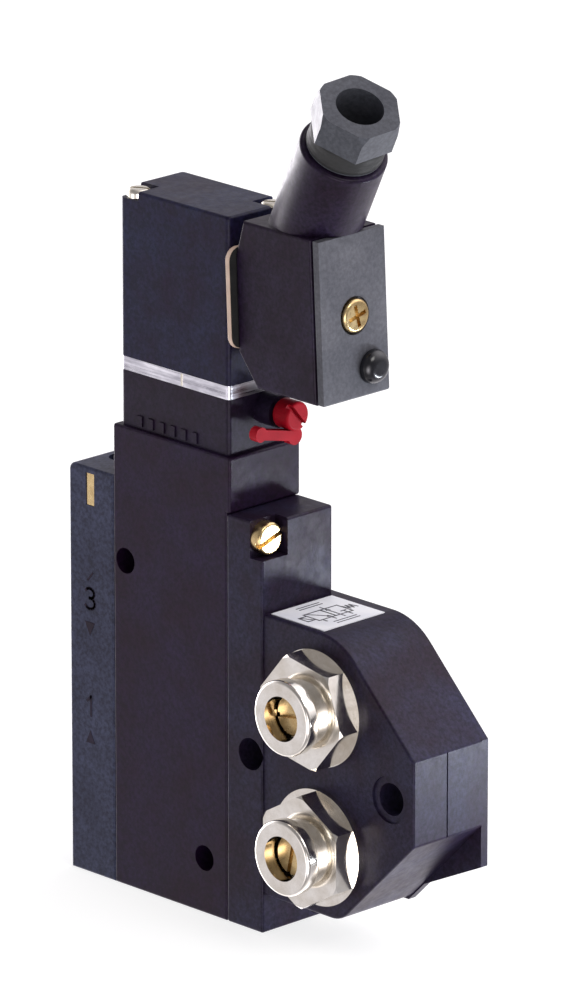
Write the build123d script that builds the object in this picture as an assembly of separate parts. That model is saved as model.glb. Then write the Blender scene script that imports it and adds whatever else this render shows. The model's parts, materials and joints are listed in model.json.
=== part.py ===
from build123d import *
import math
import os

# Servo-assisted pneumatic solenoid valve with a NAMUR flange, built as separate pieces.
# Millimetres, +Z up. The drawing axes put X along the block, Y from the fitting side (front)
# to the flange face (back) and Z up from the underside; export_node() moves every piece so
# that the origin is the centre of the underside of the complete valve.

# ---- overall blocks ----
BLOCK_DEPTH = 16.0          # depth of port plate, body and side block
PLATE_X0, PLATE_X1 = -46.1, -35.4
PLATE_TOP = 71.2
BODY_X0, BODY_X1 = -35.4, -8.4
EDGE_R = 0.45
BODY_TOP = 80.2
HEAD_X1 = -7.6              # the body steps out above the side block
SIDE_X1 = 0.0
SIDE_TOP = 70.6

# ---- main bore, spool and piston ----
AXIS_X, AXIS_Y = -21.6, 7.9
BORE_R = 5.0
RUNNING_GAP = 0.05
SPOOL_STROKE = 3.5
CAP_TOP = 5.0
BORE_TOP = 58.0
ROD_R = 2.0
CHAMBER_R = 6.0
CHAMBER_Z = 70.4
PISTON_Z0, PISTON_Z1 = 74.0, 79.1
SPOOL_Z0 = 20.5
LAND_CENTRES = [22.4, 34.3, 46.5, 54.0]
LAND_HALF = 1.3
GALLERIES = [(25.0, 31.8), (36.2, 40.6), (44.6, 48.4)]
GALLERY_R = 6.0
SUPPLY_Z, OUTLET_Z, EXHAUST_Z = 28.0, 38.4, 46.5
DRILL_R = 1.8

# ---- line ports in the port plate ----
G14_R = 6.5                 # G1/4 thread
PORT_1_Z, PORT_3_Z = 26.2, 44.2
PORT_DEPTH = 8.0

# ---- flange ----
FLANGE_Y0 = 0.4
FLANGE_X1 = 34.6
FLANGE_Z0, FLANGE_Z1 = 6.7, 55.2
FLANGE_LOW, FLANGE_HIGH = 23.6, 38.3
REAR_PLATE_T = 1.5
REAR_Y = BLOCK_DEPTH + REAR_PLATE_T
NAMUR_X, NAMUR_Z = 13.2, 30.6
NAMUR_PITCH = 24.0
NAMUR_SCREWS = 32.0
M5_CLEAR_R = 2.75
UPPER_Z = NAMUR_Z + NAMUR_PITCH / 2
LOWER_Z = NAMUR_Z - NAMUR_PITCH / 2

# ---- body mounting holes (M4 clearance) ----
M4_CLEAR_R = 2.2
BODY_HOLES = [(-32.5, 57.0), (-13.8, 9.7)]

# ---- tie screw and nut (M3) ----
M3_R = 1.5
TIE_Y, TIE_Z = 2.9, 67.4
NOTCH_Z0 = 64.3
TIE_END = -42.9
NUT_X = -41.0
NUT_SIZE, NUT_T = 5.5, 1.8
CORNER_SCREW_Y, CORNER_SCREW_Z = 13.0, 3.4

# ---- fittings ----
FLANGE_R = 9.9
HEX_AF = 17.0
COLLAR_R = 6.4
FIT_BORE_R = 3.8
FIT_FRONT = -9.0
HEX_H = 3.8
THROTTLE_Y = -5.4
FITTINGS = {"upper": (UPPER_Z, 50.0, 8.0), "lower": (LOWER_Z, 30.0, 78.0)}

# ---- pilot and coil ----
PILOT_X0, PILOT_X1 = -34.2, -8.6
PILOT_Y0, PILOT_Y1 = 0.8, 15.0
PILOT_TOP = 89.7
YOKE_TOP = 92.0
COIL_TOP = 120.6
TUBE_R, TUBE_IN_R = 3.2, 2.8
PLUNGER_R = TUBE_IN_R - RUNNING_GAP
PLUNGER_LIFT = 0.75
SEAT_Z = 84.0
PLUNGER_TOP = 106.2
TUBE_FLANGE_Z = 89.2
PLUNGER_FLANGE_Z = 87.475
CORE_Z = 107.0
COIL_CORNERS = [
    (PILOT_X0 + 2.2, PILOT_Y0 + 2.2),
    (PILOT_X1 - 2.2, PILOT_Y1 - 2.2),
]
TERMINALS = [(4.0, 107.0), (12.0, 107.0)]
PIN_X0 = -9.4
LEVER_Y, LEVER_Z = 9.1, 86.9
LEVER_R = 2.5
LEVER_X0, LEVER_X1 = -4.6, -1.0
LEVER_ROOT = (9.2, 83.4)      # Y, Z of the arm's thick end
LEVER_TIP = (1.5, 85.2)       # Y, Z of the arm's free end
LEVER_SHAFT_R = 1.8
LEVER_SHAFT_END = -17.9
BOSS_R = 2.75
BOSS_X1 = -5.0
CAM_OFFSET = PLUNGER_LIFT / math.sqrt(2)
CAM_R = 0.9

# ---- plug ----
PLUG_X0 = -6.8              # rear face of the plug at the gasket's centre
PLUG_Y0, PLUG_Y1 = 0.9, 15.9
PLUG_Z0, PLUG_Z1 = 93.1, 120.6
PLUG_TOP_X, PLUG_LOW_X = 11.9, 13.3
PLUG_LEAN = 2.5             # the gasket seat leans back towards the coil at its top
GASKET_Z = 107.4
GASKET_T = 1.0
GASKET_Y = 8.0
DOME_Y, DOME_Z = 12.0, 97.95
PLUG_WALL = 1.5
COVER_T = 1.8
PLUG_AXIS_Y, PLUG_SCREW_Z = 8.6, 107.0
GLAND_X = 3.6
GLAND_TILT = 33.0
GLAND_YAW = -16.5           # the gland also leans towards the fitting side
GLAND_R = 7.35
GLAND_RIM = 17.8
GLAND_TOP = 27.5
GLAND_AF = 12.8
GLAND_HEX_H = 5.7
GLAND_HEX_TURN = 42.0
GLAND_NECK_R = 6.4
CABLE_R = 4.0

# ---- placement of the finished valve ----
FULL_X = (PLATE_X0, FLANGE_X1)
FULL_Y = (FLANGE_Y0 + FIT_FRONT, REAR_Y)
SHIFT = (-(FULL_X[0] + FULL_X[1]) / 2, -(FULL_Y[0] + FULL_Y[1]) / 2, 0)


def block(x, y, z):
    """Box from three (low, high) pairs."""
    size = [high - low for low, high in (x, y, z)]
    centre = [(low + high) / 2 for low, high in (x, y, z)]
    return Pos(*centre) * Box(*size)


def rounded_block(x, y, z, radius):
    """Box with its four vertical edges rounded."""
    outline = RectangleRounded(x[1] - x[0], y[1] - y[0], radius)
    solid = extrude(outline, z[1] - z[0])
    return Pos((x[0] + x[1]) / 2, (y[0] + y[1]) / 2, z[0]) * solid


def soft_block(x, y, z, radius):
    """Box with all its edges rounded."""
    solid = block(x, y, z)
    return fillet(solid.edges(), radius)


def soften_face(solid, axis, position, radius):
    """Round the edges that lie in the plane at a position along an axis."""
    edges = solid.edges().filter_by_position(axis, position - 0.01, position + 0.01)
    return fillet(edges, radius)


def rod_x(y, z, r, x0, x1):
    return Pos((x0 + x1) / 2, y, z) * Rot(0, 90, 0) * Cylinder(r, x1 - x0)


def rod_y(x, z, r, y0, y1):
    return Pos(x, (y0 + y1) / 2, z) * Rot(90, 0, 0) * Cylinder(r, y1 - y0)


def rod_z(x, y, r, z0, z1):
    return Pos(x, y, (z0 + z1) / 2) * Cylinder(r, z1 - z0)


def standing_rod(r, z0, z1):
    """Cylinder on the Z axis between two heights."""
    return rod_z(0, 0, r, z0, z1)


def axis_rod(r, z0, z1):
    """Cylinder on the common axis of spool, pilot and coil."""
    return rod_z(AXIS_X, AXIS_Y, r, z0, z1)


def profile_y(points, y0, y1):
    """Solid from an X-Z outline between two depths."""
    face = make_face(Polyline(*[(x, z) for x, z in points], close=True))
    return Pos(0, y1, 0) * Rot(90, 0, 0) * extrude(face, y1 - y0)


def coil_spring(radius, wire, z0, z1, turns):
    height = z1 - z0 - 2 * wire
    path = Helix(pitch=height / turns, height=height, radius=radius)
    section = Plane(origin=path @ 0, z_dir=path % 0) * Circle(wire)
    coil = sweep(section, path=path, is_frenet=True)
    return Pos(AXIS_X, AXIS_Y, z0 + wire) * coil


def export_node(name, *solids):
    placed = [Pos(*SHIFT) * solid for solid in solids]
    shape = placed[0] if len(placed) == 1 else Compound(children=placed)
    shape.label = name
    export_step(shape, f"parts/{name}.step")


def cut(solid, *tools):
    for tool in tools:
        solid = solid - tool
    return solid


def port_plate():
    plate = block((PLATE_X0, PLATE_X1), (0, BLOCK_DEPTH), (0, PLATE_TOP))
    plate = round_corner(plate, PLATE_X0, PLATE_TOP, 1.2)
    plate = soften_face(plate, Axis.Y, 0, EDGE_R)
    plate = soften_face(plate, Axis.Y, BLOCK_DEPTH, EDGE_R)
    mid_y = BLOCK_DEPTH / 2
    for z, gallery_z in ((PORT_1_Z, SUPPLY_Z), (PORT_3_Z, EXHAUST_Z)):
        plate = plate - rod_x(mid_y, z, G14_R, PLATE_X0 - 1, PLATE_X0 + PORT_DEPTH)
        plate = plate - rod_x(AXIS_Y, gallery_z, DRILL_R, PLATE_X0, PLATE_X1 + 1)
    nut_y = TIE_Y + NUT_SIZE / 2 + 0.05
    nut_half = NUT_SIZE / 2 + 0.05
    nut_slot = block(
        (NUT_X - NUT_T / 2 - 0.1, NUT_X + NUT_T / 2 + 0.1),
        (-1, nut_y),
        (TIE_Z - nut_half, TIE_Z + nut_half),
    )
    tie_hole = rod_x(TIE_Y, TIE_Z, M3_R + 0.1, TIE_END - 0.4, PLATE_X1 + 1)
    vent = rod_z(-41.8, 7.9, 2.1, PLATE_TOP - 6, PLATE_TOP + 1)
    lower_screw = rod_x(CORNER_SCREW_Y, CORNER_SCREW_Z, M3_R + 0.1, PLATE_X0 - 1, PLATE_X1 + 1)
    lower_sink = rod_x(CORNER_SCREW_Y, CORNER_SCREW_Z, 2.9, PLATE_X0 - 1, PLATE_X0 + 2.4)
    return cut(plate, nut_slot, tie_hole, vent, lower_screw, lower_sink)


def valve_body():
    body = soft_block((BODY_X0, BODY_X1), (0, BLOCK_DEPTH), (0, BODY_TOP), EDGE_R)
    head_z = (SIDE_TOP + 0.1, BODY_TOP)
    head = soft_block((BODY_X1 - 5, HEAD_X1), (0, BLOCK_DEPTH), head_z, EDGE_R)
    body = body + head
    body = body - axis_rod(6.5, -1, CAP_TOP)
    body = body - axis_rod(BORE_R, CAP_TOP - 1, BORE_TOP)
    body = body - axis_rod(ROD_R + RUNNING_GAP, BORE_TOP - 1, CHAMBER_Z + 1)
    body = body - axis_rod(CHAMBER_R, CHAMBER_Z, BODY_TOP + 1)
    for low, high in GALLERIES:
        body = body - axis_rod(GALLERY_R, low, high)
    for z in (SUPPLY_Z, EXHAUST_Z):
        body = body - rod_x(AXIS_Y, z, DRILL_R, BODY_X0 - 1, AXIS_X)
    body = body - rod_x(AXIS_Y, OUTLET_Z, DRILL_R, AXIS_X, BODY_X1 + 1)
    # return-air passage from the lower flange port up to the exhaust gallery
    side_x, side_y = -12.0, 12.4
    body = body - rod_z(side_x, side_y, 1.5, LOWER_Z, EXHAUST_Z)
    body = body - rod_x(side_y, LOWER_Z, 1.5, side_x, BODY_X1 + 1)
    body = body - rod_x(side_y, EXHAUST_Z, 1.5, AXIS_X, side_x)
    for x, z in BODY_HOLES:
        body = body - rod_y(x, z, M4_CLEAR_R, -1, BLOCK_DEPTH + 1)
    tie_hole = rod_x(TIE_Y, TIE_Z, M3_R + 0.1, BODY_X0 - 1, HEAD_X1 + 1)
    short_a = rod_x(CORNER_SCREW_Y, CORNER_SCREW_Z, M3_R, BODY_X0 - 1, BODY_X0 + 5)
    short_b = rod_x(CORNER_SCREW_Y, CORNER_SCREW_Z, M3_R, BODY_X1 - 5, BODY_X1 + 1)
    return cut(body, tie_hole, short_a, short_b)


def flange_outline(x0):
    """X-Z outline of the flange, its two +X corners cut at 45 degrees."""
    low_run = FLANGE_LOW - FLANGE_Z0
    high_run = FLANGE_Z1 - FLANGE_HIGH
    return [
        (x0, FLANGE_Z0),
        (FLANGE_X1 - low_run, FLANGE_Z0),
        (FLANGE_X1, FLANGE_LOW),
        (FLANGE_X1, FLANGE_HIGH),
        (FLANGE_X1 - high_run, FLANGE_Z1),
        (x0, FLANGE_Z1),
    ]


def round_corner(solid, x, z, radius):
    """Round the depth-wise edge that passes nearest to (x, z)."""
    edges = solid.edges().filter_by(Axis.Y)
    edge = min(edges, key=lambda e: math.hypot(e.center().X - x, e.center().Z - z))
    return fillet(edge, radius)


def flange_body():
    side = soft_block((BODY_X1, SIDE_X1), (0, BLOCK_DEPTH), (0, SIDE_TOP), EDGE_R)
    flange = profile_y(flange_outline(-2.0), FLANGE_Y0, BLOCK_DEPTH)
    flange = round_corner(flange, FLANGE_X1 - (FLANGE_Z1 - FLANGE_HIGH), FLANGE_Z1, 12.0)
    flange = round_corner(flange, FLANGE_X1 - (FLANGE_LOW - FLANGE_Z0), FLANGE_Z0, 5.0)
    flange = round_corner(flange, FLANGE_X1, FLANGE_LOW, 0.8)
    flange = round_corner(flange, FLANGE_X1, FLANGE_HIGH, 0.8)
    flange = soften_face(flange, Axis.Y, FLANGE_Y0, EDGE_R)
    part = side + flange
    for z in (UPPER_Z, LOWER_Z):
        part = part - rod_y(NAMUR_X, z, G14_R, -1, 7.5)
        part = part - rod_y(NAMUR_X, z, 6.0, 7.0, 12.5)
        part = part - rod_y(NAMUR_X, z, 4.5, 12.0, BLOCK_DEPTH + 1)
    for x in (NAMUR_X - NAMUR_SCREWS / 2, NAMUR_X + NAMUR_SCREWS / 2):
        part = part - rod_y(x, NAMUR_Z, M5_CLEAR_R, -1, BLOCK_DEPTH + 1)
    part = part - rod_y(NAMUR_X + NAMUR_SCREWS / 2, NAMUR_Z, 4.0, -1, FLANGE_Y0 + 0.4)
    part = part - rod_x(AXIS_Y, OUTLET_Z, DRILL_R, BODY_X1 - 1, NAMUR_X)
    part = part - rod_x(12.4, LOWER_Z, 1.5, BODY_X1 - 1, NAMUR_X - 3)
    screw_notch = block((-2.9, 1), (-1, 5.8), (NOTCH_Z0, SIDE_TOP + 1))
    tie_hole = rod_x(TIE_Y, TIE_Z, M3_R + 0.1, BODY_X1 - 1, 0)
    low_hole = rod_x(CORNER_SCREW_Y, CORNER_SCREW_Z, M3_R + 0.1, BODY_X1 - 1, 1)
    low_sink = rod_x(CORNER_SCREW_Y, CORNER_SCREW_Z, 2.9, SIDE_X1 - 2.4, 1)
    split_line = block((FLANGE_X1 - 0.25, FLANGE_X1 + 1), (8.0, 8.3), (FLANGE_LOW, FLANGE_HIGH))
    return cut(part, screw_notch, tie_hole, low_hole, low_sink, split_line)


def rear_seal_plate():
    outline = flange_outline(BODY_X1 + 1.4)
    outline[1:3] = [(18.0, FLANGE_Z0), (21.6, 10.3), (FLANGE_X1, 16.5)]
    plate = profile_y(outline, BLOCK_DEPTH, REAR_Y)
    plate = round_corner(plate, FLANGE_X1 - (FLANGE_Z1 - FLANGE_HIGH), FLANGE_Z1, 12.0)
    for z in (UPPER_Z, LOWER_Z):
        plate = plate - rod_y(NAMUR_X, z, 8.0, BLOCK_DEPTH - 1, REAR_Y + 1)
    for x in (NAMUR_X - NAMUR_SCREWS / 2, NAMUR_X + NAMUR_SCREWS / 2):
        plate = plate - rod_y(x, NAMUR_Z, M5_CLEAR_R, BLOCK_DEPTH - 1, REAR_Y + 1)
    return plate


def namur_ring(z):
    ring = rod_y(NAMUR_X, z, 7.95, BLOCK_DEPTH, REAR_Y)
    ring = ring - rod_y(NAMUR_X, z, 6.2, BLOCK_DEPTH - 1, REAR_Y + 1)
    return fillet(ring.edges().filter_by(GeomType.CIRCLE), 0.35)


def cheese_screw(length, head_r=2.75, head_h=2.0, turn=0.0):
    """M3 slotted screw along -X, underside of the head at the origin."""
    head = fillet((rod_x(0, 0, head_r, 0, head_h)).edges().sort_by(Axis.X)[-1], 0.5)
    screw = head + rod_x(0, 0, M3_R, -length, 0.1)
    slot = block((head_h - 0.9, head_h + 1), (-4, 4), (-0.4, 0.4))
    return screw - Rot(turn, 0, 0) * slot


def tie_screws():
    long_screw = Pos(-2.9, TIE_Y, TIE_Z) * cheese_screw(-2.9 - TIE_END, turn=18)
    side_screw = Pos(-2.4, CORNER_SCREW_Y, CORNER_SCREW_Z) * cheese_screw(10.5, turn=35)
    plate_screw = Rot(0, 0, 180) * cheese_screw(12.0, turn=70)
    plate_screw = Pos(PLATE_X0 + 2.4, CORNER_SCREW_Y, CORNER_SCREW_Z) * plate_screw
    return long_screw, side_screw, plate_screw


def tie_nut():
    half = NUT_SIZE / 2
    nut = block(
        (NUT_X - NUT_T / 2, NUT_X + NUT_T / 2),
        (TIE_Y - half, TIE_Y + half),
        (TIE_Z - half, TIE_Z + half),
    )
    return nut - rod_x(TIE_Y, TIE_Z, M3_R, NUT_X - 2, NUT_X + 2)


def spool():
    part = axis_rod(2.9, SPOOL_Z0, LAND_CENTRES[-1] + LAND_HALF)
    for z in LAND_CENTRES:
        land = axis_rod(BORE_R - RUNNING_GAP, z - LAND_HALF, z + LAND_HALF)
        groove = axis_rod(6, z - 0.7, z + 0.7) - axis_rod(3.7, z - 1, z + 1)
        part = part + (land - groove)
    part = part + axis_rod(ROD_R, LAND_CENTRES[-1], PISTON_Z0 + 2.6)
    return part


def spool_seals():
    rings = []
    for z in LAND_CENTRES:
        ring = axis_rod(BORE_R - 0.03, z - 0.65, z + 0.65) - axis_rod(3.75, z - 1, z + 1)
        rings.append(fillet(ring.edges().filter_by(GeomType.CIRCLE), 0.3))
    return rings


def piston():
    disc = axis_rod(CHAMBER_R - RUNNING_GAP, PISTON_Z0, PISTON_Z1)
    groove = axis_rod(7, 75.8, 77.2) - axis_rod(4.9, 75, 78)
    return cut(disc, groove, axis_rod(ROD_R + 0.02, PISTON_Z0 - 1, PISTON_Z0 + 2.6))


def piston_seal():
    ring = axis_rod(CHAMBER_R - 0.03, 75.85, 77.15) - axis_rod(4.95, 75, 78)
    return fillet(ring.edges().filter_by(GeomType.CIRCLE), 0.3)


def bottom_cap():
    cap = axis_rod(6.5, 0.2, CAP_TOP) + axis_rod(3.0, CAP_TOP - 1, CAP_TOP + 2.5)
    slot = block((AXIS_X - 4, AXIS_X + 4), (AXIS_Y - 0.7, AXIS_Y + 0.7), (-1, 1.4))
    groove = axis_rod(8, 2.4, 3.7) - axis_rod(5.4, 2, 4)
    return cut(cap, slot, groove)


def cap_seal():
    ring = axis_rod(6.5, 2.45, 3.65) - axis_rod(5.45, 2, 4)
    return fillet(ring.edges().filter_by(GeomType.CIRCLE), 0.3)


def fitting_body(z, hex_turn):
    hexagon = extrude(RegularPolygon(HEX_AF / 2, 6, major_radius=False), HEX_H)
    hexagon = hexagon & Pos(0, 0, HEX_H / 2) * Cone(13.2, 9.35, HEX_H)
    front = -FIT_FRONT
    body = standing_rod(FLANGE_R, 0, 1.0) + Pos(0, 0, 1.0) * Rot(0, 0, hex_turn) * hexagon
    body = body + standing_rod(5.6, HEX_H + 0.9, front - 2.0)
    collar = standing_rod(COLLAR_R, front - 2.7, front)
    body = body + fillet(collar.edges().filter_by(GeomType.CIRCLE), 0.6)
    body = body + standing_rod(G14_R - 0.04, -6.8, 0.2)
    body = cut(
        body,
        standing_rod(FIT_BORE_R, 1.0, front + 1),
        standing_rod(2.0, -11.0, 5.0),
        standing_rod(4.2, -6.9, -3.7),
        standing_rod(8.0, -0.6, 0.6) - standing_rod(G14_R - 0.04, -1, 1),
    )
    return Pos(NAMUR_X, FLANGE_Y0, z) * Rot(90, 0, 0) * body


def throttle_screw(z, slot_turn):
    head = Cylinder(3.4, 1.6)
    head = fillet(head.edges().sort_by(Axis.Z)[-1], 0.3)
    slot = Rot(0, 0, slot_turn) * Pos(0, 0, 0.55) * Box(9, 0.8, 0.9)
    tip = Pos(0, 0, -4.4) * Cylinder(2.0 - RUNNING_GAP, 7.4)
    needle = Pos(0, 0, -9.0) * Cone(0.6, 2.0 - RUNNING_GAP, 2.0)
    screw = (head - slot) + tip + needle
    return Pos(NAMUR_X, THROTTLE_Y, z) * Rot(90, 0, 0) * screw


def fitting_seal(z):
    ring = rod_y(NAMUR_X, z, 7.95, FLANGE_Y0 - 0.6, FLANGE_Y0)
    return ring - rod_y(NAMUR_X, z, G14_R + 0.05, -1, 1)


def pilot_body():
    body = rounded_block(
        (PILOT_X0, PILOT_X1), (PILOT_Y0, PILOT_Y1), (BODY_TOP, PILOT_TOP), 0.8
    )
    body = body - axis_rod(6.7, BODY_TOP - 1, BODY_TOP + 0.6)
    body = body - axis_rod(3.8, 81.8, TUBE_FLANGE_Z)
    body = body - axis_rod(5.2, TUBE_FLANGE_Z - 0.1, PILOT_TOP + 1)
    body = body - axis_rod(1.6, BODY_TOP - 1, 82)
    body = body + rod_x(LEVER_Y, LEVER_Z, BOSS_R, PILOT_X1 - 0.5, BOSS_X1)
    body = body - rod_x(LEVER_Y, LEVER_Z, LEVER_SHAFT_R + RUNNING_GAP, AXIS_X, BOSS_X1 + 1)
    # moulded ribs along the foot of the front face
    rib_y = (PILOT_Y0 - 0.25, PILOT_Y0 + 0.2)
    rib_z = (BODY_TOP + 0.5, BODY_TOP + 2.3)
    for i in range(6):
        x = PILOT_X0 + 4.0 + 2.6 * i
        body = body + block((x, x + 1.2), rib_y, rib_z)
    return body


def pilot_gasket():
    return axis_rod(6.65, BODY_TOP, BODY_TOP + 0.6) - axis_rod(1.0, BODY_TOP - 1, BODY_TOP + 1)


def pilot_nozzle():
    nozzle = axis_rod(1.6, BODY_TOP + 0.7, 83.0) + Pos(AXIS_X, AXIS_Y, 83.47) * Cone(1.6, 0.8, 0.94)
    return nozzle - axis_rod(0.4, 80, 85)


def armature_tube():
    tube = axis_rod(TUBE_R, TUBE_FLANGE_Z + 0.1, 119.4) + axis_rod(5.1, TUBE_FLANGE_Z, PILOT_TOP)
    return tube - axis_rod(TUBE_IN_R, 88, 118.4)


def pole_core():
    return axis_rod(TUBE_IN_R, CORE_Z, 118.4)


def plunger():
    rod = axis_rod(PLUNGER_R, PLUNGER_FLANGE_Z + 0.7, PLUNGER_TOP)
    rod = rod + axis_rod(3.4, PLUNGER_FLANGE_Z, PLUNGER_FLANGE_Z + 0.8)
    rod = rod + axis_rod(2.0, SEAT_Z + 0.2, PLUNGER_FLANGE_Z + 0.1)
    return cut(rod, axis_rod(1.7, 99.5, 107), axis_rod(1.4, SEAT_Z - 1, SEAT_Z + 1.2))


def plunger_seal():
    return axis_rod(1.4, SEAT_Z, SEAT_Z + 1.2)


def override_lever():
    knob = rod_x(LEVER_Y, LEVER_Z, LEVER_R, LEVER_X0, LEVER_X1)
    knob = fillet(knob.edges().filter_by(GeomType.CIRCLE), 0.45)
    slot = block((LEVER_X1 - 1.0, LEVER_X1 + 1), (-2.9, 2.9), (-0.4, 0.4))
    knob = knob - Pos(0, LEVER_Y, LEVER_Z) * Rot(-50, 0, 0) * slot
    arm_x = (LEVER_X1 - 2.3, LEVER_X1 - 0.7)
    reach_y = LEVER_TIP[0] - LEVER_ROOT[0]
    reach_z = LEVER_TIP[1] - LEVER_ROOT[1]
    reach = math.hypot(reach_y, reach_z)
    bar = block(arm_x, (0, reach), (-0.85, 0.85))
    bar = Rot(math.degrees(math.atan2(reach_z, reach_y)), 0, 0) * bar
    arm = Pos(0, *LEVER_ROOT) * bar
    arm = arm + rod_x(*LEVER_ROOT, 1.5, *arm_x)
    arm = arm + rod_x(*LEVER_TIP, 1.25, *arm_x)
    shaft = rod_x(LEVER_Y, LEVER_Z, LEVER_SHAFT_R, LEVER_SHAFT_END, LEVER_X0 + 0.6)
    groove = rod_x(LEVER_Y, LEVER_Z, 3, -12.6, -11.4) - rod_x(LEVER_Y, LEVER_Z, 1.2, -13, -11)
    # eccentric pin that lifts the plunger flange as the lever turns
    half = CAM_OFFSET / math.sqrt(2)
    cam = rod_x(LEVER_Y + half, LEVER_Z - half, CAM_R, LEVER_SHAFT_END - 1.5, LEVER_SHAFT_END + 0.5)
    return cut(knob + arm + shaft, groove) + cam


def lever_seal():
    return rod_x(LEVER_Y, LEVER_Z, 1.8, -12.5, -11.5) - rod_x(LEVER_Y, LEVER_Z, 1.25, -13, -11)


def yoke_plate():
    plate = rounded_block(
        (PILOT_X0, PILOT_X1), (PILOT_Y0, PILOT_Y1), (PILOT_TOP, YOKE_TOP), 0.8
    )
    return plate - axis_rod(TUBE_R, PILOT_TOP - 1, YOKE_TOP + 1)


def coil_housing():
    body = rounded_block((PILOT_X0, PILOT_X1), (PILOT_Y0, PILOT_Y1), (YOKE_TOP, COIL_TOP), 0.8)
    top_edges = body.edges().group_by(Axis.Z)[-1]
    body = fillet(top_edges, 0.5)
    body = body - axis_rod(5.5, YOKE_TOP - 1, 119.5)
    base_low, base_high = 100.6, 113.8
    seat = GASKET_T + 0.02
    base_outline = [
        (PILOT_X1 - 1, base_low),
        (plug_rear_x(base_low) - seat, base_low),
        (plug_rear_x(base_high) - seat, base_high),
        (PILOT_X1 - 1, base_high),
    ]
    body = body + profile_y(base_outline, 1.8, 14.0)
    for x, y in COIL_CORNERS:
        notch = block((x - 2.2, x + 2.2), (y - 2.5, y + 2.5), (COIL_TOP - 1.6, COIL_TOP + 1))
        body = cut(body, notch, rod_z(x, y, 1.25, YOKE_TOP - 1, COIL_TOP))
    body = body - rod_x(PLUG_AXIS_Y, PLUG_SCREW_Z, M3_R, -12.4, -5)
    for y, z in TERMINALS:
        body = body - block((PIN_X0, -6), (y - 0.4, y + 0.4), (z - 2.4, z + 2.4))
    return body


def terminal_pins():
    return [
        block((PIN_X0, 0.5), (y - 0.4, y + 0.4), (z - 2.4, z + 2.4))
        for y, z in TERMINALS
    ]


def coil_screws():
    screws = []
    for x, y in COIL_CORNERS:
        head = rod_z(x, y, 2.0, COIL_TOP - 1.6, COIL_TOP - 0.1)
        head = fillet(head.edges().sort_by(Axis.Z)[-1], 0.7)
        slot = Pos(x, y, COIL_TOP) * Rot(0, 0, 30) * Box(5, 0.6, 1.2)
        screws.append((head - slot) + rod_z(x, y, 1.25, YOKE_TOP, COIL_TOP - 1.5))
    return screws


def bobbin():
    part = axis_rod(3.9, 92.3, 119.4) + axis_rod(5.4, 92.3, 93.3) + axis_rod(5.4, 118.4, 119.4)
    return part - axis_rod(TUBE_R, 92, 120)


def coil_winding():
    return axis_rod(5.2, 93.3, 118.4) - axis_rod(3.9, 93, 119)


def plug_gasket():
    face = RectangleRounded(17.2, 17.0, 2.2)
    pad = Pos(-GASKET_T, 0, 0) * Rot(0, 90, 0) * Rot(0, 0, 90) * extrude(face, GASKET_T)
    pad = fillet(pad.edges().group_by(Axis.X)[0], 0.3)
    pad = Pos(PLUG_X0, GASKET_Y, GASKET_Z) * Rot(0, -PLUG_LEAN, 0) * pad
    pad = pad - rod_x(PLUG_AXIS_Y, PLUG_SCREW_Z, M3_R + 0.1, -9, 0)
    for y, z in TERMINALS:
        pad = pad - block((-9, 0), (y - 0.4, y + 0.4), (z - 2.4, z + 2.4))
    return pad


def plug_front_x(z):
    """X of the leaning front face of the plug at height z."""
    share = (z - PLUG_Z0) / (PLUG_Z1 - PLUG_Z0)
    return PLUG_LOW_X + (PLUG_TOP_X - PLUG_LOW_X) * share


def plug_rear_x(z):
    """X of the leaning rear face of the plug at height z."""
    return PLUG_X0 - (z - GASKET_Z) * math.tan(math.radians(PLUG_LEAN))


def plug_outline(inset, x1_shift):
    low, high = PLUG_Z0 + inset, PLUG_Z1 - inset
    return [
        (plug_rear_x(low) + 4.0 + inset, low),
        (plug_front_x(low) + x1_shift, low),
        (plug_front_x(high) + x1_shift, high),
        (plug_rear_x(high) + 1.9 + inset, high),
        (plug_rear_x(high - 6.0) + inset, high - 6.0),
        (plug_rear_x(low + 5.3) + inset, low + 5.3),
    ]


def gland_place(distance):
    """Location on the gland axis at a distance from the plug's top face."""
    lean = Rot(0, 0, GLAND_YAW) * Rot(0, GLAND_TILT, 0)
    return Pos(GLAND_X, PLUG_AXIS_Y, PLUG_Z1) * lean * Pos(0, 0, distance)


def plug_housing():
    body = profile_y(plug_outline(0, -COVER_T), PLUG_Y0, PLUG_Y1)
    body = soften_face(body, Axis.Y, PLUG_Y0, EDGE_R)
    body = soften_face(body, Axis.Y, PLUG_Y1, EDGE_R)
    tube = gland_place(0) * standing_rod(GLAND_R, -8.0, GLAND_RIM)
    tube = tube & block((PLUG_X0 + 0.2, 60), (-20, 40), (PLUG_Z1, 200))
    tube = fillet(tube.edges().filter_by(GeomType.CIRCLE).sort_by(Axis.Z)[-1], 0.6)
    body = body + tube
    cavity_outline = plug_outline(PLUG_WALL, -COVER_T - 1.2)
    cavity = profile_y(cavity_outline, PLUG_Y0 + PLUG_WALL, PLUG_Y1 - PLUG_WALL)
    mouth = block((PLUG_X0 - 1, PLUG_X0 + 3), (2.6, 14.0), (101.6, 112.6))
    throat = gland_place(0) * standing_rod(5.9, -4.0, GLAND_RIM + 2)
    screw_hole = rod_x(PLUG_AXIS_Y, PLUG_SCREW_Z, M3_R + 0.1, -9, 20)
    return cut(body, cavity, mouth, throat, screw_hole)


def cover_slab(edge, back, front):
    """Slab that follows the leaning front face, between two depths behind it."""
    low, high = PLUG_Z0 + edge, PLUG_Z1 - edge
    outline = [
        (plug_front_x(low) - back, low),
        (plug_front_x(low) - front, low),
        (plug_front_x(high) - front, high),
        (plug_front_x(high) - back, high),
    ]
    return profile_y(outline, PLUG_Y0 + edge, PLUG_Y1 - edge)


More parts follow.
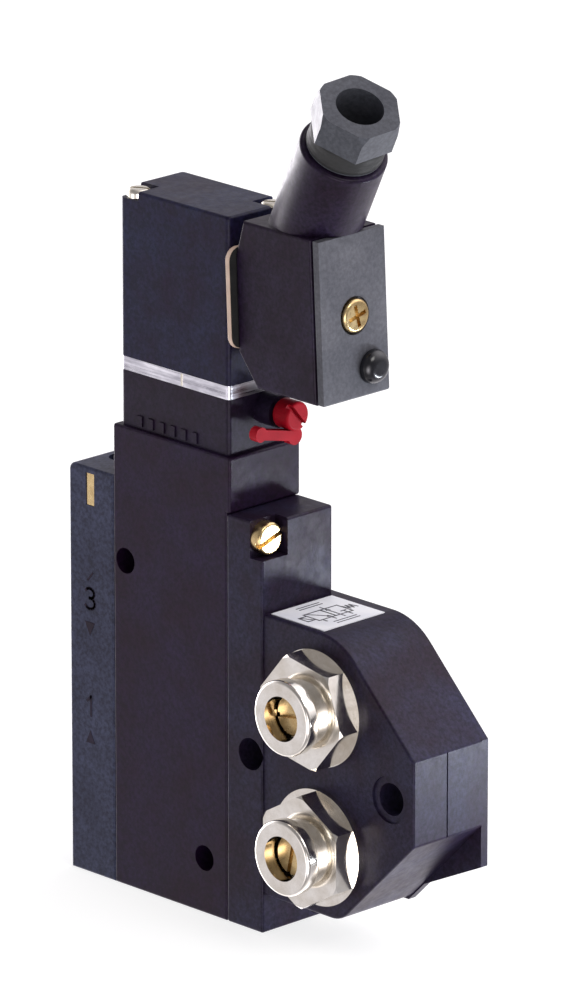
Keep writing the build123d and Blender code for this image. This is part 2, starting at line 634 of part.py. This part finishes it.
def plug_cover():
    face = cover_slab(0.1, COVER_T - 0.5, 0)
    front_edges = face.faces().sort_by(Axis.X)[-1].edges()
    face = fillet(front_edges, 0.4)
    cover = face + cover_slab(0.6, COVER_T, COVER_T - 0.6)
    sink_x = plug_front_x(PLUG_SCREW_Z) - 0.9
    cover = cover - rod_x(PLUG_AXIS_Y, PLUG_SCREW_Z, 3.2, sink_x, 20)
    cover = cover - rod_x(PLUG_AXIS_Y, PLUG_SCREW_Z, M3_R + 0.1, 5, 20)
    return cover - rod_x(DOME_Y, DOME_Z, 1.6, 10, 20)


def contact_carrier():
    outline = plug_outline(PLUG_WALL + 0.1, -COVER_T - 1.4)
    carrier = profile_y(outline, PLUG_Y0 + PLUG_WALL + 0.1, PLUG_Y1 - PLUG_WALL - 0.1)
    carrier = carrier & block((-10, 20), (0, 20), (90, 113.5))
    carrier = carrier - rod_x(PLUG_AXIS_Y, PLUG_SCREW_Z, M3_R + 0.1, -9, 20)
    for y, z in TERMINALS:
        carrier = carrier - block((-9, 1.0), (y - 0.45, y + 0.45), (z - 2.5, z + 2.5))
    return carrier


def plug_screw():
    under_head = plug_front_x(PLUG_SCREW_Z) - 0.9
    head = rod_x(0, 0, 2.85, 0, 1.5)
    head = fillet(head.edges().sort_by(Axis.X)[-1], 0.6)
    slots = [Rot(turn, 0, 0) * block((0.6, 2), (-1.9, 1.9), (-0.35, 0.35)) for turn in (15, 105)]
    screw = cut(head, *slots) + rod_x(0, 0, M3_R, -12.2 - under_head, 0.1)
    return Pos(under_head, PLUG_AXIS_Y, PLUG_SCREW_Z) * screw


def plug_dome():
    x = plug_front_x(DOME_Z)
    dome = rod_x(DOME_Y, DOME_Z, 2.9, x + 0.2, x + 2.15)
    dome = fillet(dome.edges().sort_by(Axis.X)[-1], 1.8)
    return dome + rod_x(DOME_Y, DOME_Z, 1.6, x - 1.7, x + 0.5)


def gland_washer():
    ring = Cylinder(5.7, 0.8) - Cylinder(CABLE_R, 2)
    return gland_place(4.4) * ring


def gland_grommet():
    ring = Cylinder(5.7, 6.0) - Cylinder(CABLE_R, 8)
    return gland_place(7.9) * ring


def gland_nut():
    hex_foot = GLAND_TOP - GLAND_HEX_H
    hexagon = extrude(RegularPolygon(GLAND_AF / 2, 6, major_radius=False), GLAND_HEX_H)
    hexagon = hexagon & Pos(0, 0, GLAND_HEX_H / 2) * Cone(8.4, 6.9, GLAND_HEX_H)
    hexagon = Rot(0, 0, GLAND_HEX_TURN) * hexagon
    nut = standing_rod(5.85, 10.95, hex_foot + 0.2) + Pos(0, 0, hex_foot) * hexagon
    # thread crests on the neck that shows between the tube's rim and the hexagon
    for i in range(4):
        crest = hex_foot - 0.9 - 0.95 * i
        nut = nut + standing_rod(GLAND_NECK_R, crest, crest + 0.5)
    nut = nut - standing_rod(CABLE_R, 5, 30)
    return gland_place(0) * nut


def label():
    return block((0.7, 13.0), (1.4, 15.2), (FLANGE_Z1, FLANGE_Z1 + 0.15))


os.makedirs("parts", exist_ok=True)
export_node("port_plate", port_plate())
export_node("valve_body", valve_body())
export_node("flange_body", flange_body())
export_node("rear_seal_plate", rear_seal_plate())
export_node("namur_orings", namur_ring(UPPER_Z), namur_ring(LOWER_Z))
export_node("tie_screws", *tie_screws())
export_node("tie_nut", tie_nut())
export_node("spool", spool())
export_node("spool_seals", *spool_seals())
export_node("piston", piston())
export_node("piston_seal", piston_seal())
export_node("return_spring", coil_spring(3.9, 0.4, CAP_TOP, SPOOL_Z0, 7))
export_node("bottom_cap", bottom_cap())
export_node("cap_seal", cap_seal())
for side, (port_z, hex_turn, slot_turn) in FITTINGS.items():
    export_node(f"fitting_{side}", fitting_body(port_z, hex_turn))
    export_node(f"throttle_screw_{side}", throttle_screw(port_z, slot_turn))
export_node("fitting_seals", fitting_seal(UPPER_Z), fitting_seal(LOWER_Z))
export_node("pilot_body", pilot_body())
export_node("pilot_gasket", pilot_gasket())
export_node("pilot_nozzle", pilot_nozzle())
export_node("armature_tube", armature_tube())
export_node("pole_core", pole_core())
export_node("plunger", plunger())
export_node("plunger_seal", plunger_seal())
export_node("plunger_spring", coil_spring(1.25, 0.2, 99.5, CORE_Z, 8))
export_node("override_lever", override_lever())
export_node("lever_seal", lever_seal())
export_node("yoke_plate", yoke_plate())
export_node("coil_housing", coil_housing())
export_node("bobbin", bobbin())
export_node("coil_winding", coil_winding())
export_node("coil_screws", *coil_screws())
export_node("terminal_pins", *terminal_pins())
export_node("plug_gasket", plug_gasket())
export_node("plug_housing", plug_housing())
export_node("plug_cover", plug_cover())
export_node("contact_carrier", contact_carrier())
export_node("plug_screw", plug_screw())
export_node("plug_dome", plug_dome())
export_node("gland_washer", gland_washer())
export_node("gland_grommet", gland_grommet())
export_node("gland_nut", gland_nut())
export_node("label", label())
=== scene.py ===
import json
import math

import bmesh
import bpy
from mathutils import Matrix, Vector


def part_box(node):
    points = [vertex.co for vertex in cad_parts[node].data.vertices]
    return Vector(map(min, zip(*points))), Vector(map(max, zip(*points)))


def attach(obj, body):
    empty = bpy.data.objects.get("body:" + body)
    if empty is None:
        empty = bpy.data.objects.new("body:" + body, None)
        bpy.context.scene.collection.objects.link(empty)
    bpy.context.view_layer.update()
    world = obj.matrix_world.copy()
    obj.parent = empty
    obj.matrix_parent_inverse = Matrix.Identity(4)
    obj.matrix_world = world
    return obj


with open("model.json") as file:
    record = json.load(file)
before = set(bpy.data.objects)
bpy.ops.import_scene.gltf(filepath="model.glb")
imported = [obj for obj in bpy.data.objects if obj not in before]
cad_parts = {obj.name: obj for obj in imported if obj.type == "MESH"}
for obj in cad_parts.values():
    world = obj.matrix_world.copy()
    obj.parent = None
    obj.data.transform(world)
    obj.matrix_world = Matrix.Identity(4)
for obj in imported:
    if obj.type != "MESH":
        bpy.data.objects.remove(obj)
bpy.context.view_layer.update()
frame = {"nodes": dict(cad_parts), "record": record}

MM = 0.001
VALVE = "valve"
# sockets of the Mix node that carry colours
MIX_COLOR_A, MIX_COLOR_B, MIX_COLOR_OUT = 6, 7, 2

# ---------------------------------------------------------------- materials


class Paint:
    """A Principled material with small helpers for its node tree."""

    def __init__(self, name, color, roughness, metallic=0.0, specular=0.5):
        self.mat = bpy.data.materials.new(name)
        self.mat.use_nodes = True
        self.tree = self.mat.node_tree
        self.shader = self.tree.nodes["Principled BSDF"]
        self.set("Base Color", (*color, 1.0))
        self.set("Roughness", roughness)
        self.set("Metallic", metallic)
        self.set("Specular IOR Level", specular)
        self.coords = self.tree.nodes.new("ShaderNodeTexCoord")

    def set(self, socket, value):
        self.shader.inputs[socket].default_value = value

    def node(self, kind, **inputs):
        made = self.tree.nodes.new(kind)
        for name, value in inputs.items():
            made.inputs[name.replace("_", " ")].default_value = value
        return made

    def link(self, a, b):
        self.tree.links.new(a, b)

    def noise(self, scale, detail=3.0, rough=0.55, stretch=(1, 1, 1)):
        mapping = self.node("ShaderNodeMapping", Scale=stretch)
        self.link(self.coords.outputs["Object"], mapping.inputs["Vector"])
        tex = self.node("ShaderNodeTexNoise", Scale=scale, Detail=detail, Roughness=rough)
        self.link(mapping.outputs["Vector"], tex.inputs["Vector"])
        return tex.outputs["Fac"]

    def ramp(self, value, stops):
        """Colour ramp between two stops, each a place and a colour."""
        ramp = self.node("ShaderNodeValToRGB")
        for element, (place, color) in zip(ramp.color_ramp.elements, stops):
            element.position = place
            element.color = (*color, 1.0)
        self.link(value, ramp.inputs["Fac"])
        return ramp.outputs["Color"]

    def span(self, value, low, high):
        """The middle of a noise stretched over the range from low to high."""
        spread = self.node(
            "ShaderNodeMapRange", From_Min=0.3, From_Max=0.7, To_Min=low, To_Max=high
        )
        self.link(value, spread.inputs["Value"])
        return spread.outputs["Result"]

    def multiply(self, factor, first, second):
        """Two colours multiplied, with the second let in by the factor."""
        mixer = self.tree.nodes.new("ShaderNodeMix")
        mixer.data_type = "RGBA"
        mixer.blend_type = "MULTIPLY"
        mixer.inputs["Factor"].default_value = factor
        self.link(first, mixer.inputs[MIX_COLOR_A])
        self.link(second, mixer.inputs[MIX_COLOR_B])
        return mixer.outputs[MIX_COLOR_OUT]

    def color(self, output):
        self.link(output, self.shader.inputs["Base Color"])

    def roughness(self, output):
        self.link(output, self.shader.inputs["Roughness"])

    def bump(self, height, strength, distance):
        bump = self.node("ShaderNodeBump", Strength=strength, Distance=distance)
        self.link(height, bump.inputs["Height"])
        previous = self.shader.inputs["Normal"].links
        if previous:
            self.link(previous[0].from_socket, bump.inputs["Normal"])
        self.link(bump.outputs["Normal"], self.shader.inputs["Normal"])


def moulded_plastic(name, dark, light, rough=(0.34, 0.46), grain=1.0, mottle=0.4):
    """Glass-filled moulding: slow colour clouds, a fine mottle and a faint moulded grain."""
    p = Paint(name, dark, rough[0], specular=0.14)
    clouds = p.ramp(p.noise(95, 4.0, 0.6), [(0.36, dark), (0.64, light)])
    low, high = (1.0 - mottle,) * 3, (1.0 + mottle,) * 3
    specks = p.ramp(p.noise(1500, 3.0, 0.65), [(0.36, low), (0.66, high)])
    p.color(p.multiply(1.0, clouds, specks))
    p.roughness(p.span(p.noise(620, 4.0, 0.65), rough[0], rough[1]))
    p.bump(p.noise(2600 * grain, 2.0, 0.5), 0.16, 0.00003)
    p.bump(p.noise(150, 2.0, 0.4), 0.08, 0.0003)
    return p.mat


def turned_metal(name, color, shade, rough=(0.12, 0.26), fleck=0.5):
    """Plated or bare turned metal: fine tool marks and a slightly darker tone in random patches.
    """
    p = Paint(name, color, rough[0], metallic=1.0)
    p.color(p.ramp(p.noise(240, 4.0, 0.6), [(0.32, shade), (0.66, color)]))
    p.roughness(p.span(p.noise(700, 4.0, 0.6), rough[0], rough[1]))
    p.bump(p.noise(2200, 2.0, 0.5), 0.10 * fleck, 0.00002)
    return p.mat


def brushed_metal(name, color, shade):
    """Steel brushed along its length, with darker patches."""
    p = Paint(name, color, 0.3, metallic=1.0)
    lines = p.noise(2600, 3.0, 0.6, stretch=(0.03, 0.03, 1.0))
    patches = p.noise(260, 3.0, 0.6, stretch=(0.6, 0.6, 1.6))
    tone = p.ramp(patches, [(0.34, shade), (0.62, color)])
    scratches = p.ramp(lines, [(0.34, (0.45, 0.45, 0.47)), (0.62, (1, 1, 1))])
    p.color(p.multiply(0.5, tone, scratches))
    p.roughness(p.span(lines, 0.22, 0.45))
    p.bump(lines, 0.3, 0.00003)
    return p.mat


def soft_rubber(name, dark, light, rough=(0.55, 0.75)):
    """Matt rubber with an even fine grain."""
    p = Paint(name, dark, rough[0], specular=0.4)
    p.color(p.ramp(p.noise(300, 4.0, 0.6), [(0.3, dark), (0.7, light)]))
    p.roughness(p.span(p.noise(500, 4.0, 0.6), rough[0], rough[1]))
    p.bump(p.noise(3000, 2.0, 0.5), 0.2, 0.00003)
    return p.mat


def glossy_plastic(name, dark, light, rough, specular):
    """Smooth moulding with slight waves in its surface."""
    p = Paint(name, dark, rough[0], specular=specular)
    p.color(p.ramp(p.noise(260, 3.0, 0.55), [(0.3, dark), (0.7, light)]))
    p.roughness(p.span(p.noise(420, 4.0, 0.6), rough[0], rough[1]))
    p.bump(p.noise(900, 2.0, 0.5), 0.12, 0.00004)
    return p.mat


def printed_foil(name):
    """Pale satin label foil."""
    p = Paint(name, (0.8, 0.82, 0.82), 0.35)
    dark, light = (0.78, 0.80, 0.85), (0.92, 0.93, 0.95)
    p.color(p.ramp(p.noise(220, 3.0, 0.5), [(0.3, dark), (0.7, light)]))
    p.roughness(p.span(p.noise(500, 3.0, 0.6), 0.32, 0.5))
    p.bump(p.noise(350, 2.0, 0.5), 0.12, 0.00005)
    return p.mat


# Each slot of the record: its kind of material, its two colours and what else sets it apart.
FINISHES = {
    "body_polyamide": (moulded_plastic, (0.010, 0.002, 0.011), (0.013, 0.006, 0.024), {}),
    "flange_polyamide": (
        moulded_plastic, (0.013, 0.006, 0.016), (0.018, 0.016, 0.038),
        {"grain": 0.7},
    ),
    "plate_polyamide": (moulded_plastic, (0.026, 0.028, 0.054), (0.038, 0.042, 0.078), {}),
    "pilot_polyamide": (moulded_plastic, (0.009, 0.003, 0.011), (0.013, 0.008, 0.022), {}),
    "coil_plastic": (
        moulded_plastic, (0.009, 0.004, 0.018), (0.012, 0.014, 0.040),
        {"grain": 0.8},
    ),
    "plug_plastic": (
        moulded_plastic, (0.010, 0.004, 0.013), (0.017, 0.011, 0.028),
        {"rough": (0.3, 0.42)},
    ),
    "cover_plastic": (
        moulded_plastic, (0.072, 0.073, 0.086), (0.100, 0.100, 0.114),
        {"rough": (0.4, 0.52), "mottle": 0.16},
    ),
    "gland_plastic": (
        moulded_plastic, (0.062, 0.065, 0.078), (0.088, 0.092, 0.106),
        {"rough": (0.3, 0.42), "mottle": 0.2},
    ),
    "dome_plastic": (
        glossy_plastic, (0.004, 0.004, 0.006), (0.010, 0.010, 0.014),
        {"rough": (0.16, 0.26), "specular": 0.5},
    ),
    "red_plastic": (
        glossy_plastic, (0.26, 0.003, 0.010), (0.36, 0.006, 0.016),
        {"rough": (0.32, 0.44), "specular": 0.07},
    ),
    "inner_plastic": (moulded_plastic, (0.40, 0.37, 0.30), (0.52, 0.49, 0.42), {}),
    "brass": (
        turned_metal, (0.70, 0.53, 0.27), (0.42, 0.28, 0.12),
        {"rough": (0.2, 0.36), "fleck": 1.0},
    ),
    "nickel": (turned_metal, (0.90, 0.87, 0.81), (0.74, 0.69, 0.61), {"rough": (0.10, 0.2)}),
    "screw_steel": (turned_metal, (0.86, 0.82, 0.72), (0.60, 0.54, 0.42), {"rough": (0.15, 0.28)}),
    "yoke_steel": (brushed_metal, (0.80, 0.79, 0.84), (0.48, 0.47, 0.52), {}),
    "spool_aluminium": (
        turned_metal, (0.72, 0.73, 0.75), (0.6, 0.6, 0.62),
        {"rough": (0.25, 0.38)},
    ),
    "spring_steel": (turned_metal, (0.6, 0.6, 0.62), (0.45, 0.45, 0.46), {"rough": (0.2, 0.35)}),
    "copper": (turned_metal, (0.72, 0.36, 0.2), (0.5, 0.22, 0.12), {"rough": (0.22, 0.36)}),
    "black_rubber": (soft_rubber, (0.012, 0.012, 0.012), (0.022, 0.022, 0.022), {}),
    "washer_plastic": (moulded_plastic, (0.45, 0.45, 0.42), (0.58, 0.58, 0.55), {}),
    "gasket_elastomer": (
        soft_rubber, (0.50, 0.36, 0.28), (0.64, 0.48, 0.38),
        {"rough": (0.35, 0.5)},
    ),
}
SLOTS = {"label_foil": printed_foil("label_foil")}
for slot, (kind, first, second, rest) in FINISHES.items():
    SLOTS[slot] = kind(slot, first, second, **rest)

for part in frame["record"]["subparts"]:
    node = frame["nodes"][part["node"]]
    for material_slot in node.material_slots:
        material_slot.material = SLOTS[part["material_slot"]]

# ---------------------------------------------------------------- extra pieces


SUNK = 0.02  # how deep a mark's foot sits in its face, in millimetres


def finish_piece(name, bm, material, smooth=False):
    """Object from a finished mesh, riding on the valve's fixed body."""
    mesh = bpy.data.meshes.new(name)
    bmesh.ops.recalc_face_normals(bm, faces=bm.faces)
    bm.to_mesh(mesh)
    bm.free()
    mesh.materials.append(SLOTS[material])
    for poly in mesh.polygons:
        poly.use_smooth = smooth
    obj = bpy.data.objects.new(name, mesh)
    bpy.context.scene.collection.objects.link(obj)
    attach(obj, VALVE)


def add_prism(bm, outline, place, height):
    """Low prism: a flat outline in millimetres, put on a face by place(u, v, lift)."""
    foot = [bm.verts.new(place(u, v, -SUNK)) for u, v in outline]
    top = [bm.verts.new(place(u, v, height)) for u, v in shrink(outline, 0.5 * height)]
    bm.faces.new(top)
    count = len(outline)
    for i in range(count):
        j = (i + 1) % count
        bm.faces.new((foot[i], foot[j], top[j], top[i]))


def shrink(outline, amount):
    """The outline pulled in towards its centre, for a slanted side."""
    mid_u = sum(u for u, v in outline) / len(outline)
    mid_v = sum(v for u, v in outline) / len(outline)
    reach = max(math.hypot(u - mid_u, v - mid_v) for u, v in outline)
    keep = 1.0 - amount / reach
    return [(mid_u + (u - mid_u) * keep, mid_v + (v - mid_v) * keep) for u, v in outline]


def add_stroke(bm, points, width, place, height):
    """Bar of even width along each leg of a line."""
    for (u0, v0), (u1, v1) in zip(points, points[1:]):
        length = math.hypot(u1 - u0, v1 - v0)
        du, dv = (u1 - u0) / length * width / 2, (v1 - v0) / length * width / 2
        outline = [
            (u0 - du - dv, v0 - dv + du),
            (u0 - du + dv, v0 - dv - du),
            (u1 + du + dv, v1 + dv - du),
            (u1 + du - dv, v1 + dv + du),
        ]
        add_prism(bm, outline, place, height)


def arc(mid_u, mid_v, radius_u, radius_v, start, end, steps):
    """Points along part of an ellipse, with its angles in degrees."""
    points = []
    for i in range(steps + 1):
        angle = math.radians(start + (end - start) * i / steps)
        points.append((mid_u + radius_u * math.cos(angle), mid_v + radius_v * math.sin(angle)))
    return points


def port_marks():
    """Raised port numbers and flow triangles on the front of the port plate."""
    low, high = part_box("port_plate")
    centre_x = low.x + 4.9 * MM

    def on_front(u, v, lift):
        return Vector((centre_x + u * MM, low.y - lift * MM, v * MM))

    bm = bmesh.new()
    three = arc(0.0, 49.3, 1.05, 0.85, 150, -90, 9) + arc(0.0, 47.55, 1.2, 0.95, 90, -150, 9)
    add_stroke(bm, three, 0.5, on_front, 0.05)
    add_stroke(bm, [(-0.7, 30.4), (0.15, 31.2), (0.15, 27.9)], 0.5, on_front, 0.05)
    add_prism(bm, [(-1.2, 44.3), (1.2, 44.3), (0.0, 41.9)], on_front, 0.05)
    add_prism(bm, [(-1.1, 23.0), (1.1, 23.0), (0.0, 25.3)], on_front, 0.05)
    add_stroke(bm, [(-0.4, 51.6), (0.7, 52.9)], 0.35, on_front, 0.05)
    finish_piece("port_marks", bm, "pilot_polyamide")


def label_symbol():
    """Generic valve symbol on the label: two squares, flow arrows, coil and spring."""
    low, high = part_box("label")
    mid = (low + high) / 2

    def on_top(u, v, lift):
        return Vector((mid.x + v * MM, mid.y + u * MM, high.z + lift * MM))

    bm = bmesh.new()
    thin, height = 0.3, 0.02
    side = 3.8
    foot, head = -side / 2, side / 2
    for left in (-side, 0.0):
        corners = [(left, foot), (left + side, foot), (left + side, head), (left, head)]
        add_stroke(bm, corners + corners[:1], thin, on_top, height)
    add_stroke(bm, [(-3.1, -1.7), (-1.0, 1.3)], thin, on_top, height)
    add_prism(bm, [(-0.6, 1.8), (-1.6, 1.4), (-0.9, 0.7)], on_top, height)
    add_stroke(bm, [(1.0, -1.6), (1.0, 1.5)], thin, on_top, height)
    add_prism(bm, [(1.0, -1.8), (0.5, -0.9), (1.5, -0.9)], on_top, height)
    add_stroke(bm, [(2.7, 1.8), (2.7, 0.8)], thin, on_top, height)
    add_stroke(bm, [(2.2, 0.8), (3.2, 0.8)], thin, on_top, height)
    add_stroke(bm, [(-3.9, -1.1), (-5.6, -1.1), (-5.6, 1.1), (-3.9, 1.1)], thin, on_top, height)
    add_stroke(bm, [(-5.3, -1.0), (-4.2, 1.0)], thin, on_top, height)
    zigzag = [(3.95 + 0.4 * i, 0.8 if i % 2 else -0.8) for i in range(6)]
    add_stroke(bm, zigzag, thin, on_top, height)
    for u, v in ((-3.1, 2.2), (-1.0, 2.2), (1.0, 2.2), (2.7, 2.2), (1.0, -2.9)):
        add_stroke(bm, [(u, v), (u, v + 0.7)], thin, on_top, height)
    for v in (-4.9, -4.1, 3.9, 4.7):
        add_stroke(bm, [(-2.4, v), (2.6, v)], 0.28, on_top, height)
    finish_piece("label_symbol", bm, "cover_plastic")


def yoke_seam():
    """Bright butt joint of the coil's steel yoke, in the middle of its front."""
    low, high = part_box("yoke_plate")

    def on_front(u, v, lift):
        return Vector((low.x + u * MM, low.y - lift * MM, v * MM))

    bm = bmesh.new()
    foot, head = low.z / MM + 0.1, high.z / MM - 0.1
    add_prism(bm, [(14.3, foot), (14.75, foot), (14.75, head), (14.3, head)], on_front, 0.04)
    finish_piece("yoke_seam", bm, "screw_steel")


def gasket_painted_shadow():
    """Thin black sheet laid on the gasket's rim beside the plug: painted shadow of the plug on the
    salmon gasket.
    """
    low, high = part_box("plug_gasket")
    mid = (low + high) / 2
    lean = math.radians(2.5)
    half_y, half_z, corner, lift = 8.5, 8.4, 2.1, 0.52
    outline = []
    for sign_y, sign_z, start in ((1, 1, 0), (-1, 1, 90), (-1, -1, 180), (1, -1, 270)):
        mid_y, mid_z = sign_y * (half_y - corner), sign_z * (half_z - corner)
        outline += arc(mid_y, mid_z, corner, corner, start, start + 90, 6)

    def on_gasket(u, v, rise):
        out = lift + rise
        x = out * math.cos(lean) - v * math.sin(lean)
        z = out * math.sin(lean) + v * math.cos(lean)
        return Vector((mid.x + x * MM, mid.y + u * MM, mid.z + z * MM))

    bm = bmesh.new()
    add_prism(bm, outline, on_gasket, 0.03)
    # painted shadow: this black sheet darkens the gasket rim where the plug shades it
    finish_piece("gasket_painted_shadow", bm, "black_rubber")


def gland_thread():
    """Black ring over the gland nut's thread, between the tube's rim and the hexagon; it makes the
    neck darker than the nut's own grey plastic.
    """
    entry = next(m for m in frame["record"]["mounts"] if m["name"] == "cable_entry")
    axis = Vector(entry["axis"]).normalized()
    # the cable entry's middle lies 11.75 mm below the nut's top face
    top = Vector(entry["pos_m"]) + axis * 11.75 * MM
    side = axis.orthogonal().normalized()
    other = axis.cross(side)
    crest, root = 6.46, 6.41
    # distance from the nut's top face and radius, from the rim up to the hexagon
    profile = [(-9.3, 6.0), (-9.2, crest)]
    for groove in (-8.3, -7.2):
        profile += [(groove - 0.2, crest), (groove, root), (groove + 0.2, crest)]
    profile += [(-6.3, crest), (-6.1, root), (-5.75, 6.2)]
    bm = bmesh.new()
    steps = 64
    rings = []
    for along, radius in profile:
        ring = []
        for i in range(steps):
            turn = 2 * math.pi * i / steps
            out = side * math.cos(turn) + other * math.sin(turn)
            ring.append(bm.verts.new(top + axis * along * MM + out * radius * MM))
        rings.append(ring)
    for lower, upper in zip(rings, rings[1:]):
        for i in range(steps):
            j = (i + 1) % steps
            bm.faces.new((lower[i], lower[j], upper[j], upper[i]))
    finish_piece("gland_thread", bm, "black_rubber", smooth=True)


port_marks()
label_symbol()
gland_thread()
yoke_seam()
gasket_painted_shadow()

# ---------------------------------------------------------------- studio

FLOOR_HALF = 4.0
floor_bm = bmesh.new()
bmesh.ops.create_grid(floor_bm, x_segments=1, y_segments=1, size=FLOOR_HALF)
floor_mesh = bpy.data.meshes.new("floor")
floor_bm.to_mesh(floor_mesh)
floor_bm.free()
floor = bpy.data.objects.new("floor", floor_mesh)
bpy.context.scene.collection.objects.link(floor)
paper = Paint("paper", (0.4, 0.4, 0.4), 0.9, specular=0.0)
shade, sheet = (0.36, 0.36, 0.36), (0.4, 0.4, 0.4)
paper.color(paper.ramp(paper.noise(3.0, 2.0), [(0.3, shade), (0.7, sheet)]))
paper.set("Emission Color", (1.0, 1.0, 1.0, 1.0))
paper.set("Emission Strength", 0.78)
floor_mesh.materials.append(paper.mat)
floor.visible_glossy = False

AZIMUTH, ELEVATION = math.radians(45.85), math.radians(17.56)
back = Vector((
    math.sin(AZIMUTH) * math.cos(ELEVATION),
    -math.cos(AZIMUTH) * math.cos(ELEVATION),
    math.sin(ELEVATION),
))
right = Vector((math.cos(AZIMUTH), math.sin(AZIMUTH), 0.0))
up = back.cross(right)

# Soft studio surround: an even dim room with brighter patches in a few directions.
world = bpy.data.worlds.new("studio")
world.use_nodes = True
sky = world.node_tree
direction = sky.nodes.new("ShaderNodeTexCoord").outputs["Generated"]


def sky_math(operation, first, second):
    """One step of arithmetic in the world's node tree."""
    made = sky.nodes.new("ShaderNodeMath")
    made.operation = operation
    made.use_clamp = operation == "MAXIMUM"
    for socket, value in zip(made.inputs, (first, second)):
        if isinstance(value, bpy.types.NodeSocket):
            sky.links.new(value, socket)
        else:
            socket.default_value = value
    return made.outputs[0]


def bright_wall(toward, sharpness, strength):
    """Share of light from the part of the room around one direction."""
    dot = sky.nodes.new("ShaderNodeVectorMath")
    dot.operation = "DOT_PRODUCT"
    sky.links.new(direction, dot.inputs[0])
    dot.inputs[1].default_value = Vector(toward).normalized()
    facing = sky_math("MAXIMUM", dot.outputs["Value"], 0.0)
    return sky_math("MULTIPLY", sky_math("POWER", facing, sharpness), strength)


ROOM = 0.27
# direction, sharpness and strength of each bright patch
WALLS = [
    ((0.30, 0.66, 0.68), 5.0, 2.6),
    ((-0.20, 0.40, -0.90), 3.0, 1.7),
    ((-0.69, -0.66, -0.30), 4.0, 0.38),
    ((-0.98, 0.12, -0.12), 10.0, 8.5),
    ((-0.24, -0.92, -0.28), 30.0, 2.0),
    ((0.66, -0.69, -0.25), 24.0, 7.0),
]
total = ROOM
for wall in WALLS:
    total = sky_math("ADD", bright_wall(*wall), total)
background = sky.nodes["Background"]
background.inputs["Color"].default_value = (0.99, 0.955, 1.0, 1.0)
sky.links.new(total, background.inputs["Strength"])
bpy.context.scene.world = world


def softbox(name, place, target, size, power, color):
    """Area lamp at a place, aimed at a target; places and sizes in metres, power in watts."""
    lamp = bpy.data.lights.new(name, "AREA")
    lamp.shape = "RECTANGLE"
    lamp.size, lamp.size_y = size
    lamp.energy = power
    lamp.color = color
    obj = bpy.data.objects.new(name, lamp)
    obj.location = place
    aim = Vector(target) - Vector(place)
    obj.rotation_euler = aim.to_track_quat("-Z", "Y").to_euler()
    obj.visible_camera = False
    bpy.context.scene.collection.objects.link(obj)


WARM_WHITE, COOL_WHITE = (1.0, 0.98, 0.95), (0.84, 0.9, 1.0)
softbox("key", (0.7, -0.1, 0.8), (0.0, 0.0, 0.07), (0.4, 0.4), 2.9, WARM_WHITE)
softbox("low_right", (0.13, 0.09, 0.008), (0.038, 0.0, 0.025), (0.08, 0.014), 0.22, COOL_WHITE)

REACH = 1.551  # metres from the aimed point
FOCAL = 342.0  # millimetres, on a 36 mm wide sensor
AIM = Vector((0.00575, 0.00355, 0.060)) - right * 0.00228 + up * 0.01253
cam_data = bpy.data.cameras.new("camera")
cam_data.lens = FOCAL
cam_data.sensor_width = 36.0
cam_data.clip_start, cam_data.clip_end = 0.1, 20.0
cam = bpy.data.objects.new("camera", cam_data)
bpy.context.scene.collection.objects.link(cam)
cam.location = AIM + back * REACH
cam.rotation_euler = Matrix((right, up, back)).transposed().to_euler()
bpy.context.scene.camera = cam
bpy.context.scene.view_settings.view_transform = "Standard"
